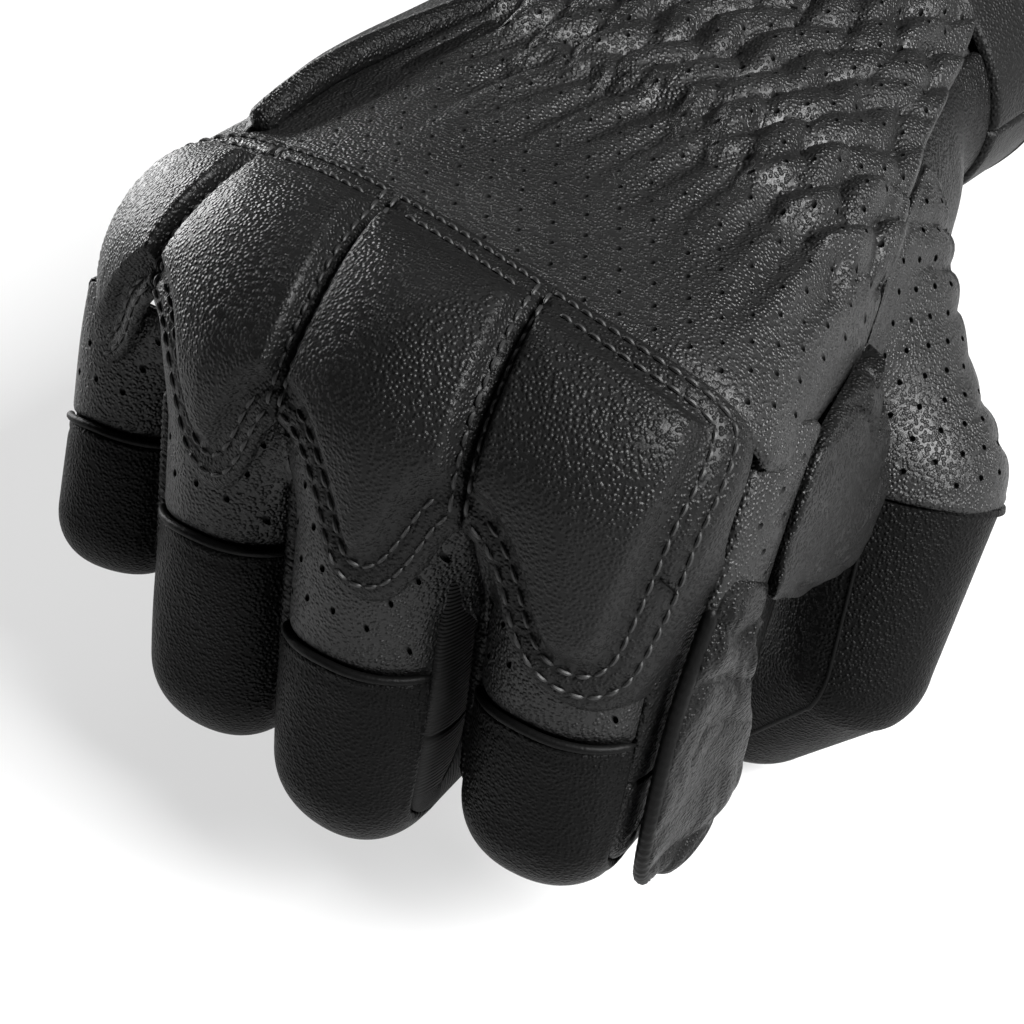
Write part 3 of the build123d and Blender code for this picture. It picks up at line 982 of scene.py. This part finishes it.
def stall_patch(stall, turn, run):
    """Rectangle on a stall between two angles and two distances along the back."""
    left, right = (stall.round(t) for t in turn)
    return [(left, run[0]), (right, run[0]), (right, run[1]), (left, run[1])]


def lean(turn):
    """How much further down the piping runs towards the little-finger side."""
    return 2.6 * max(0.0, -turn / FRONT_SIDE) ** 1.5


def make_finger(name):
    """Leather, piping, side gussets and palm side of one finger."""
    stall = stalls[name]
    bodies = [name + "_proximal", name + "_middle", name + "_end"]
    piping_at = PIPING_AT[name]
    first_bend = stall_bend(stall, 1, bodies[:2])
    second_bend = stall_bend(stall, 2, bodies[1:])
    middle_at = (stall.arc_end[0] + stall.arc_start[1]) / 2

    # perforated strip between the guard and the piping
    turns_across = np.linspace(-FRONT_SIDE, FRONT_SIDE, 13)
    lower = SKIRT.flat(stall.at([(stall.round(t), piping_at + lean(t)) for t in turns_across]))
    fork_left, fork_right = FORKS[name]
    low_u, high_u = STRIP_SIDES[name]
    left_side = SKIRT.flat(stall.at([(stall.round(-FRONT_SIDE), s) for s in (piping_at - 3, piping_at - 8)]))
    right_side = SKIRT.flat(stall.at([(stall.round(FRONT_SIDE), s) for s in (piping_at - 8, piping_at - 3)]))
    outline = [tuple(p) for p in lower]
    top_v = STRIP_TOP[name]
    right_fork = [] if fork_right is None else [(high_u, fork_right + 1)]
    left_fork = [] if fork_left is None else [(low_u, fork_left + 1)]
    outline += [tuple(p) for p in right_side[::-1]] + right_fork + [(high_u, top_v), (low_u, top_v)]
    outline += left_fork + [tuple(p) for p in left_side]
    strip = lay_panel(name + "_perforated_strip", SKIRT, outline, 0.9, -0.5, 0.8, holes=1.6)
    attach(strip, "perforated_leather", knuckle_bend(name), [name + "_proximal_back"])

    turns = np.linspace(-FRONT_SIDE + 3, FRONT_SIDE, 15)
    piping_line = [(stall.round(t), piping_at + 0.5 + lean(t)) for t in turns]
    tube = lay_tube(name + "_piping_roll", stall, piping_line, 0.55, 0.5)
    attach(tube, "piping_leather", bodies[0], [name + "_piping"])

    # plain leather over the second knuckle and down to the tip
    def soft(uv, d):
        return 0.5 * np.sin(uv[:, 0] * 0.32 + 0.8) * np.sin(uv[:, 1] * 0.11) + groove(d, 1.6, 0.5, 0.15)

    side = FRONT_SIDE
    top = [(stall.round(t), piping_at + 0.8 + lean(t)) for t in turns_across]
    bottom = [(stall.round(side), middle_at), (stall.round(-side), middle_at)]
    front = lay_panel(name + "_knuckle_front", stall, top + bottom, relief=soft, grid=0.8)
    attach(front, "back_leather", first_bend, [name + "_knuckle_leather", name + "_middle_back"])
    tip_end = stall.end - 0.6
    front = lay_panel(
        name + "_tip_front", stall, stall_patch(stall, (-side, side), (middle_at + 0.2, tip_end)), grid=0.9
    )
    attach(front, "back_leather", second_bend, [name + "_tip"])

    # side gussets: ribbed knit towards the thumb, rolled welt on the other side
    fabric_names = (("knit", side + 1, PALM_SIDE), ("welt", -PALM_SIDE, -side - 1))
    finish = {
        "knit": "gusset_leather" if name == "index" else "stretch_fabric",
        "welt": "gusset_leather" if name == "little" else "stretch_fabric",
    }
    for label, low, high in fabric_names:
        covers = [name + "_proximal_sides"] if label == "knit" else []
        sections = ((4, stall.arc_start[0] - 9, bodies[0]), (stall.arc_start[0] - 9, middle_at, first_bend))
        for part, (start, stop, body) in enumerate(sections):
            patch = stall_patch(stall, (low, high), (start, stop))
            cloth = lay_panel(f"{name}_{label}_gusset_{part}", stall, patch, 0.8, -0.3, 0.8)
            attach(cloth, finish[label], body, covers if part == 0 else ())
        patch = stall_patch(stall, (low, high), (middle_at, tip_end))
        cloth = lay_panel(f"{name}_{label}_gusset_2", stall, patch, 0.8, -0.3, 0.9)
        attach(cloth, finish[label], second_bend)
    welt_at = stall.round(-side - 7)
    welt_line = [(welt_at, s) for s in np.linspace(9, stall.arc_end[0] - 2, 24)]
    if name != "little":
        welt = lay_tube(name + "_welt", stall, welt_line, 1.25, 0.6, ribs=0.16, rib_pitch=0.9, step=0.25)
        attach(welt, "gusset_leather", first_bend)

    # palm side
    around = (PALM_SIDE, 360 - PALM_SIDE)
    sections = (
        ("base", 4, stall.arc_start[0] + 2, bodies[0], [name + "_proximal_palm"]),
        ("middle", stall.arc_start[0] + 2, middle_at, bodies[1], [name + "_middle_palm"]),
        ("end", middle_at, tip_end, second_bend, []),
    )
    for label, start, stop, body, covers in sections:
        patch = stall_patch(stall, around, (start, stop))
        skin = lay_panel(f"{name}_{label}_palm_skin", stall, patch, 0.8, -0.2, 1.3)
        attach(skin, "palm_leather", body, covers)


# ---------------------------------------------------------------- back of the hand
def flat_back(points):
    """Pattern places, on the back of the hand, of points in the hand."""
    return BACK.flat(np.array(points, float))


# edges of the back panel, as points in the hand
GUARD_REAR = [
    (-30, -102, 14), (-22, -104.5, 14), (-3, -109, 17), (22, -114, 17), (37, -117, 16), (48.5, -114.5, 10),
]
THUMB_SEAM = [
    (50.6, -112.5, 5), (51.6, -107, 2), (50.7, -101.3, 3.9), (49.3, -90.8, 2.4), (47.6, -79.5, 1.4),
    (44, -66.5, 6.7), (41.5, -58, 8.5),
]
SHIRR_EDGE = [
    (41.2, -60, 9.6), (38.2, -72.6, 14.4), (36.8, -85.7, 16.2), (29.1, -86.0, 17.4), (18.0, -80.6, 17.5),
    (4.6, -72.6, 17.7), (-3.5, -73.9, 17.7), (-12.6, -73.9, 16.9), (-24, -60, 15),
]
ROLL_LINE = [
    (-17.5, -38, 18), (-22.7, -59.2, 16.9), (-26.2, -72.6, 16.5), (-28.4, -84.7, 16.1), (-28.7, -94.3, 14.9),
    (-29.0, -99.3, 13.5),
]
BAND_LINE = [
    (-33.5, -38, 12), (-34.2, -59, 12.5), (-34.8, -72, 13), (-35.4, -82, 12.5), (-35.8, -92, 9.8),
    (-35.5, -99, 7),
]


def fold_lift(x, y, amount):
    """Folds along the hand that fan out from the gathered wrist."""
    across = x - 0.08 * (y + 80) + 1.2 * np.sin(0.13 * y)
    wave = np.sin(1.15 * across) + 0.5 * np.sin(0.62 * across + 0.08 * y)
    return 0.5 * amount * wave


PUFF_WIDTH = 5.8
PUFF_PITCH = 7.8
PUFF_LENGTH = 17.0
PUFF_HEIGHT = 3.8
PUFF_FOOT = 1.6


def gather_lift(x, y):
    """Gathered puffs: slanted leaves, pointed at both ends, in staggered rows."""
    width, pitch, length, height = PUFF_WIDTH, PUFF_PITCH, PUFF_LENGTH, PUFF_HEIGHT
    x = x - 0.1 * y + 0.7 * np.sin(0.35 * y)
    best = np.zeros(len(x))
    row = np.floor(y / pitch)
    for dr in (-1, 0, 1, 2):
        r = row + dr
        shift = (r % 2) * width / 2
        column = np.floor((x - shift) / width)
        for dc in (-1, 0, 1, 2):
            c = column + dc
            wobble = np.sin(12.9 * c + 7.7 * r)
            dx = x - (shift + c * width + 0.7 * wobble)
            dy = y - (r * pitch + 1.3 * np.cos(5.1 * c + 3.3 * r))
            taper = np.clip(1 - (2 * dy / length) ** 2, 0.001, 1)
            side = np.clip(1 - (dx / (0.58 * width * taper)) ** 2, 0, 1)
            best = np.maximum(best, (height + 0.6 * wobble) * np.sqrt(side * taper))
    return best - PUFF_FOOT


def back_relief(uv, d):
    """Gathers near the wrist, folds ahead of them, and the dent of the edge seam."""
    p = BACK.origin + uv[:, :1] * BACK.u + uv[:, 1:] * BACK.v
    x, y = p[:, 0], p[:, 1]
    start = np.interp(x, [q[0] for q in SHIRR_EDGE[::-1]], [q[1] for q in SHIRR_EDGE[::-1]])
    start = start + 2.0 * np.sin(1.15 * x)
    gathered = smooth_step((y - start) / 5)
    folded = smooth_step((y - start + 26) / 26) * (1 - 0.5 * gathered)
    return gather_lift(x, y) * gathered + fold_lift(x, y, folded) + groove(d, 1.4, 0.5, 0.2)


CUFF_EDGE = -17
# sides and palm: angle round the hand and y of each corner
HAND_SKINS = (
    ("outer_side_skin", -0.2, "gusset_leather", "outer_side_panel",
     ((-50, -103), (-50, CUFF_EDGE), (-125, CUFF_EDGE), (-125, -107))),
    ("inner_side_skin", -0.5, "gusset_leather", "inner_side_panel",
     ((70, -84), (70, CUFF_EDGE), (125, CUFF_EDGE), (125, -84))),
    ("palm_skin", -0.3, "palm_leather", "palm_panel",
     ((90, -108), (90, -60), (110, CUFF_EDGE), (238, CUFF_EDGE), (238, -107))),
)
WRIST_EDGE = [(38, -48, 9), (33, -24, 10), (31, -16.5, 12), (0, -16.5, 22), (-26, -16.5, 15), (-27, -40, 14)]


def make_back():
    """Perforated back of the hand, its folded outer edge, and the sides and palm."""
    outline = np.vstack([
        flat_back(GUARD_REAR), flat_back(THUMB_SEAM), flat_back(WRIST_EDGE), flat_back(ROLL_LINE),
    ])
    back = lay_panel("perforated_back", BACK, outline, 0.9, 0.0, 0.75, holes=2.0, relief=back_relief)
    attach(back, "perforated_leather", "hand", ["back_of_hand_panel", "wrist_shirring_panel"])
    edge = Loft(ROLL_LINE, BAND_LINE, (-0.3, 0, 0.95), 0.0)
    along = [(0, v) for v in np.linspace(0, edge.height, 24)]
    roll = lay_tube("folded_edge_roll", edge, along, 2.0, -0.8, step=0.8)
    attach(roll, "gusset_leather", "hand")
    band = lay_panel("outer_edge_band", edge, edge.outline(), 1.4, -1.6, 0.9)
    attach(band, "strap_leather", "hand")
    for name, level, slot, node, corners in HAND_SKINS:
        patch = [(RING.round(turn), y) for turn, y in corners]
        skin = lay_panel(name, RING, patch, 0.9, level, 1.1)
        attach(skin, slot, "hand", [node])


def creases(uv, size, depth, angle):
    """Soft wrinkles between narrow valleys."""
    u = (uv[:, 0] * math.cos(angle) + uv[:, 1] * math.sin(angle)) / size
    v = (uv[:, 1] * math.cos(angle) - uv[:, 0] * math.sin(angle)) / size
    bend = 0.45 * np.sin(1.3 * v + 0.7 * np.sin(0.9 * u)) + 0.12 * np.sin(3.1 * v + 1.1)
    ridge = np.abs(np.sin(math.pi * (u + bend)))
    share = 0.6 + 0.4 * np.sin(0.8 * v + 1.3 * u)
    return depth * share * (ridge**0.7 - 0.6)


def make_web():
    """Leather between thumb and index finger, and the leaf down the index finger's side."""
    side = Loft(
        [(47.5, -108, 8.5), (49.2, -114.5, 3.5), (49.9, -119, -5), (49.6, -122, -13)],
        [(50.5, -98.5, 3.6), (51.6, -105, 1.5), (52.0, -109.5, -6), (52.2, -112.5, -13)],
        (1, -0.2, 0.2), 0.6,
    )
    skin = lay_panel("index_root_side", side, side.outline(), 0.9, 0.0, 0.7, holes=1.8)
    attach(skin, "perforated_leather", knuckle_bend("index"))
    web = Loft(
        [
            (47.6, -79.5, 1.8), (49.5, -90.8, 2.8), (51.2, -101.3, 3.2), (52.1, -107.5, -2),
            (52.4, -111.5, -12),
        ],
        [
            (48.2, -79.3, 0.6), (51.2, -78.8, -8), (53.4, -80.5, -18), (52.8, -84.0, -26),
            (49.5, -94.0, -25.5),
        ],
        (0.75, -0.45, 0.1), 1.8,
    )

    def web_relief(uv, d):
        roll = 0.8 * np.sin(2 * math.pi * uv[:, 0] / web.width + 0.04 * uv[:, 1])
        return roll + creases(uv, 8.0, 1.2, 1.1) + creases(uv, 3.6, 0.3, 0.9)

    skin = lay_panel("thumb_web_skin", web, web.outline(0.6, 14.0), 1.0, 0.0, 0.6, relief=web_relief)
    hinge = joint_at["thumb_swing"]
    bend = ("hand", "thumb_base", hinge + (16, -62, 0), hinge + (18, -42, -24))
    attach(skin, "gusset_leather", bend, ["thumb_web_gusset"])
    leaf = Loft(
        [
            (49.8, -118, -5), (49.6, -121.6, -12.9), (49.4, -124.4, -20.3), (49.4, -126.4, -28.7),
            (49.4, -127.8, -38), (48.8, -127, -47), (47.5, -123, -53),
        ],
        [
            (52.2, -111, -10), (52.6, -113.5, -15), (52.2, -112.4, -22), (51.8, -109.8, -31),
            (51.4, -107.4, -40), (50.6, -108.5, -50), (48.5, -119, -54.5),
        ],
        (1, -0.25, 0.1), 1.0,
    )

    def leaf_relief(uv, d):
        roll = 0.7 * np.sin(2 * math.pi * uv[:, 0] / leaf.width + 0.05 * uv[:, 1])
        return (roll + creases(uv, 9.0, 1.0, 1.1) + creases(uv, 4.0, 0.35, 0.2)) * smooth_step(uv[:, 1] / 6)

    skin = lay_panel("index_side_leaf", leaf, leaf.outline(0.9), 1.0, 0.0, 0.6, relief=leaf_relief)
    bend = stall_bend(stalls["index"], 1, ("index_proximal", "index_middle"))
    attach(skin, "gusset_leather", bend)
    edge = [(0, v) for v in np.linspace(4, leaf.height, 20)]
    welt = lay_tube("index_side_welt", leaf, edge, 0.9, 0.8, ribs=0.1, rib_pitch=1.4, step=0.35)
    attach(welt, "piping_leather", bend)


THUMB_SEAM_TURN = -38.0  # degrees round the thumb from the middle of its back


def thumb_skin_field(p):
    """Thumb and hand as one skin."""
    return smooth_min(hand_field(p), thumb_field(p), 8)


def make_thumb():
    """Perforated thumb back, its rear and palm side, and the plain end with its seam."""
    out = unit((0.6, -0.355, 0.72))
    u_axis = unit(np.cross((0, 0, 1), out))
    chart = Chart(thumb_skin_field, (0, 0, 0), u_axis, np.cross(out, u_axis))
    fold_at = thumb.arc_end[0] + 0.5
    turns = np.linspace(-62, 86, 12)
    fold_line = [(thumb.round(t), fold_at) for t in turns]
    rear = [(thumb.round(86), s) for s in np.linspace(fold_at - 4, 4, 8)]
    outline = np.vstack([
        chart.flat([(41.8, -56, 9), *THUMB_SEAM[-2:-4:-1], (50.8, -79.5, -8), (53, -81, -17)]),
        chart.flat(thumb.at(fold_line)),
        chart.flat(thumb.at(rear)),
        chart.flat([(39, -48, 8)]),
    ])

    def relief(uv, d):
        p = chart.at(uv)
        near_wrist = smooth_step((p[:, 1] + 66) / 14)
        return 1.1 * near_wrist * creases(uv, 6.0, 1.5, 1.2) + groove(d, 1.3, 0.5, 0.2)

    skin = lay_panel("thumb_perforated_back", chart, outline, 0.9, 0.0, 0.75, holes=1.8, relief=relief)
    hinge = joint_at["thumb_swing"]
    bend = ("hand", "thumb_base", hinge + (4, -10, 2), hinge + (12, -32, -14))
    attach(skin, "perforated_leather", bend, ["thumb_base_back"])
    across, back = thumb.across, thumb.backs[0]
    out = unit(0.8 * across - 0.6 * back)
    chart = Chart(thumb_skin_field, thumb.points[0], thumb.dirs[0], np.cross(out, thumb.dirs[0]))
    near = thumb.at([(thumb.round(78), s) for s in np.linspace(2, fold_at - 2, 10)])
    far = thumb.at([(thumb.round(178), s) for s in np.linspace(fold_at - 2, 2, 10)])
    skin = lay_panel(
        "thumb_base_rear", chart, np.vstack([chart.flat(near), chart.flat(far)]), 0.9, -0.5, 1.1
    )
    attach(skin, "palm_leather", bend)
    bend = stall_bend(thumb, 1, ("thumb_base", "thumb_middle"))
    patch = stall_patch(thumb, (84, 298), (12, fold_at))
    skin = lay_panel("thumb_base_inner", thumb, patch, 0.9, -0.4, 1.1)
    attach(skin, "palm_leather", bend, ["thumb_base_palm"])
    middle_end = (thumb.arc_end[0] + thumb.arc_start[1]) / 2
    patch = stall_patch(thumb, (-100, 100), (fold_at - 1.5, middle_end))
    skin = lay_panel("thumb_middle_front", thumb, patch, 0.9, -0.1, 0.9, low_edge=1.0)
    attach(skin, "back_leather", bend, ["thumb_middle_back"])
    patch = stall_patch(thumb, (100, 260), (fold_at, middle_end))
    skin = lay_panel("thumb_middle_inner", thumb, patch, 0.9, -0.2, 1.1)
    attach(skin, "palm_leather", "thumb_middle", ["thumb_middle_palm"])
    tip_bend = stall_bend(thumb, 2, ("thumb_middle", "thumb_end"))
    seams = (
        ("thumb_front_seam", fold_at + 2, middle_end, bend),
        ("thumb_tip_seam", middle_end, thumb.dome, tip_bend),
    )
    for name, start, stop, seam_bend in seams:
        line = [(thumb.round(THUMB_SEAM_TURN), s) for s in np.linspace(start, stop, 12)]
        seam = lay_tube(name, thumb, line, 0.3, 0.75, taper=0.0)
        attach(seam, "piping_leather", seam_bend)
    for label, turn in (("front", (-100, 100)), ("inner", (100, 260))):
        patch = stall_patch(thumb, turn, (middle_end, thumb.end - 0.6))
        skin = lay_panel("thumb_tip_" + label, thumb, patch, 0.9, -0.1, 0.9, low_edge=1.0)
        attach(skin, "back_leather", tip_bend, ["thumb_tip"] if label == "front" else ())


def make_cuff():
    """Cuff bands with lining and rolled edge, and the wrist strap."""
    for half, (low, high) in enumerate(((-90, 90), (90, 270))):
        a, b = RING.round(low), RING.round(high)
        patch = [(a, CUFF_EDGE), (b, CUFF_EDGE), (b, -0.5), (a, -0.5)]
        cuff = lay_panel(f"cuff_band_{half}", RING, patch, 1.0, 0.0, 1.2)
        attach(cuff, "strap_leather", "hand", ["cuff_panel"] if half == 0 else ())
        patch = [(a, -60), (b, -60), (b, -1), (a, -1)]
        lining = lay_panel(f"cuff_lining_{half}", RING, patch, 0.4, -1.6, 1.6)
        attach(lining, "lining_fabric", "hand", ["hand_lining"] if half == 0 else ())
    line = [(RING.round(t), -0.8) for t in range(0, 361, 6)]
    binding = lay_tube("cuff_binding_roll", RING, line, 1.3, 0.2, taper=0.0, step=1.2)
    attach(binding, "piping_leather", "hand", ["cuff_binding"])
    a, b = RING.round(-163), RING.round(14)
    strap = lay_panel(
        "strap_body", RING, soften([(a, -44), (b, -44), (b + 2, -34), (b, -24), (a, -24)], passes=1),
        2.0, 2.2, 1.0, relief=lambda uv, d: groove(d, 1.8, 0.4, 0.3),
    )
    attach(strap, "strap_leather", "strap", ["wrist_strap"])


for finger in NAMES:
    make_guard(finger)
    make_finger(finger)
make_back()
make_web()
make_thumb()
make_cuff()

for node_name, finish in CARRIED.items():
    node = frame["nodes"][node_name]
    node.data.materials.clear()
    node.data.materials.append(finish)

# ---------------------------------------------------------------- floor, light and camera
low_corner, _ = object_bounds()
FLOOR_SIZE = 6
FLOOR_GAP = 0.002
bpy.ops.mesh.primitive_plane_add(size=FLOOR_SIZE, location=(0, 0, low_corner.z - FLOOR_GAP))
floor = bpy.context.object
floor.name = "floor"
floor_material, _, floor_shader = node_material("floor", 0.25, 0.9)
floor_shader.inputs["Emission Color"].default_value = (1, 1, 1, 1)
floor_shader.inputs["Emission Strength"].default_value = 0.6
floor.data.materials.append(floor_material)

world = bpy.data.worlds.new("world")
bpy.context.scene.world = world
world.use_nodes = True
sky = world.node_tree
direction = add(sky, "ShaderNodeTexCoord")
towards = add(sky, "ShaderNodeVectorMath", operation="DOT_PRODUCT")
towards.inputs[1].default_value = (0.5, 0.6, 0.62)
brightness = add(sky, "ShaderNodeMapRange")
brightness.inputs["From Min"].default_value = 0.1
brightness.inputs["To Min"].default_value = 0.15
brightness.inputs["To Max"].default_value = 0.75
sky.links.new(direction.outputs["Generated"], towards.inputs[0])
sky.links.new(towards.outputs["Value"], brightness.inputs["Value"])
sky.links.new(brightness.outputs["Result"], sky.nodes["Background"].inputs["Strength"])


def area_light(name, place, target, size, power):
    """Soft square light that faces a target."""
    data = bpy.data.lights.new(name, "AREA")
    data.shape = "SQUARE"
    data.size = size
    data.energy = power
    light = bpy.data.objects.new(name, data)
    light.location = place
    light.rotation_euler = (Vector(target) - Vector(place)).to_track_quat("-Z", "Y").to_euler()
    bpy.context.scene.collection.objects.link(light)
    return light


TARGET = (0.02, -0.10, -0.015)
area_light("key", (0.64, -0.1, 0.6), TARGET, 0.4, 30)
area_light("overhead", (-0.1, 0.4, 1.1), TARGET, 1.0, 3)
area_light("left_rim", (-0.8, 0.15, 0.0), TARGET, 0.4, 11)

# camera: angles in degrees, distance in millimetres, focal length in pixels of the square frame
AZIMUTH, ELEVATION, ROLL, DISTANCE, FOCAL = 31.8, 40.6, 3.2, 216.6, 1813.6
FRAME_PIXELS = 1024
AIM = np.array([19.4, -111.6, -16.9])
az, el, roll = (math.radians(x) for x in (AZIMUTH, ELEVATION, ROLL))
away = np.array([math.sin(az) * math.cos(el), -math.cos(az) * math.cos(el), math.sin(el)])
right = np.array([math.cos(az), math.sin(az), 0])
up = np.cross(away, right)
right, up = right * math.cos(roll) + up * math.sin(roll), up * math.cos(roll) - right * math.sin(roll)
camera_data = bpy.data.cameras.new("camera")
camera_data.sensor_width = 36
camera_data.lens = FOCAL / FRAME_PIXELS * camera_data.sensor_width
camera_data.clip_start = 0.01
camera = bpy.data.objects.new("camera", camera_data)
bpy.context.scene.collection.objects.link(camera)
place = (AIM + DISTANCE * away) * MM
camera.matrix_world = Matrix([(right[i], up[i], away[i], place[i]) for i in range(3)] + [(0, 0, 0, 1)])
bpy.context.scene.camera = camera
bpy.context.scene.view_settings.view_transform = "Standard"
